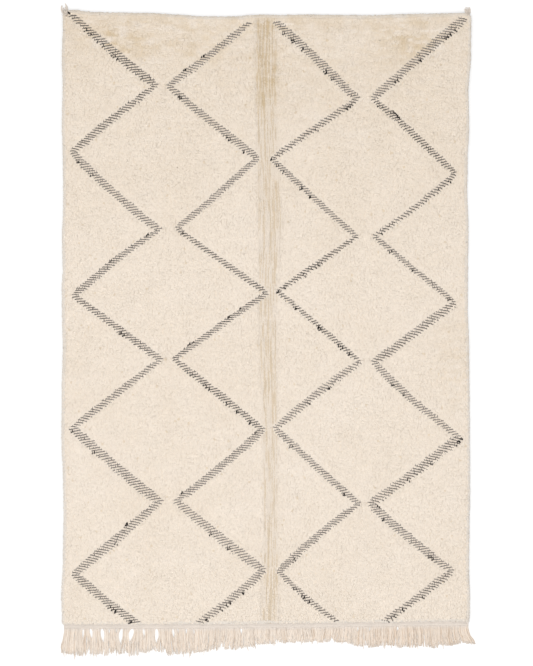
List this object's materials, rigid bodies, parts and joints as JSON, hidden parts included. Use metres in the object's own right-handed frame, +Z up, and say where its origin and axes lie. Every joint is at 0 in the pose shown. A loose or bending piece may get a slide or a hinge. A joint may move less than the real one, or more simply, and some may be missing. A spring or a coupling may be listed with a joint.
{
  "type": "beni ourain rug",
  "caption": "Flat hand-knotted wool rug, ivory pile with a dark open diamond lattice, a flat-woven end with a loose warp fringe, and small corner tassels.",
  "frame": {"origin": "middle of the pile field's underside, on the floor", "axes": "+Z up out of the pile; +Y along the rug's length, away from the fringed end; +X across its width"},
  "size_m": [1.6217, 2.5711, 0.024],
  "materials": {
    "ivory_wool": "matte ivory knotted wool pile",
    "dark_wool": "matte undyed grey-brown wool, in the lattice lines of the pile",
    "warp_yarn": "matte pale pinkish twisted wool yarn"
  },
  "bodies": {
    "root": {"pile_field": "ivory_wool", "kilim_end_fringe": "warp_yarn", "corner_tassel_left": "warp_yarn", "corner_tassel_right": "warp_yarn"}
  },
  "joints": []
}
